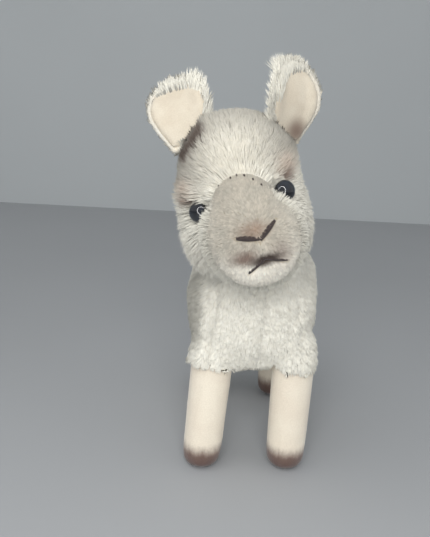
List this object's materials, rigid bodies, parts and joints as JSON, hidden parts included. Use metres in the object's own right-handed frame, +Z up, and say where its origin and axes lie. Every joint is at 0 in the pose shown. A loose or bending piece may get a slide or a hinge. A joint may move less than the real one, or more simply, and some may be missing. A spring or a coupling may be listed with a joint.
{
  "type": "plush alpaca",
  "caption": "Standing plush alpaca with furry body, tilted head, leaf-shaped ears, short-pile face, plastic eyes, stitched nostrils and mouth, and straight velour legs.",
  "frame": {"origin": "on the ground, under the middle of the toy's bounding box", "axes": "+Z up, the toy faces -Y and its own left side is at +X"},
  "size_m": [0.1144, 0.2052, 0.2552],
  "materials": {
    "long_fur": "ivory plush fur, pile of 3 to 8 mm, brushed",
    "short_pile": "beige short-pile plush with brown airbrushed shading round the nose and mouth",
    "velour": "cream velour, pile under 1 mm, airbrushed brown at the feet and in the ear roots",
    "eye_plastic": "glossy near-black dome",
    "washer_plastic": "white moulded washer, hidden inside the head",
    "thread": "dark brown embroidery thread"
  },
  "bodies": {
    "root": {"body": "long_fur", "head": "long_fur", "face": "short_pile", "front_left_leg": "velour", "front_right_leg": "velour", "hind_left_leg": "velour", "hind_right_leg": "velour", "left_ear_back": "long_fur", "left_ear_lining": "velour", "right_ear_back": "long_fur", "right_ear_lining": "velour", "tail": "long_fur", "left_eye": "eye_plastic", "right_eye": "eye_plastic", "left_eye_washer": "washer_plastic", "right_eye_washer": "washer_plastic", "left_nostril_stitch": "thread", "right_nostril_stitch": "thread", "left_mouth_stitch": "thread", "right_mouth_stitch": "thread"}
  },
  "joints": []
}
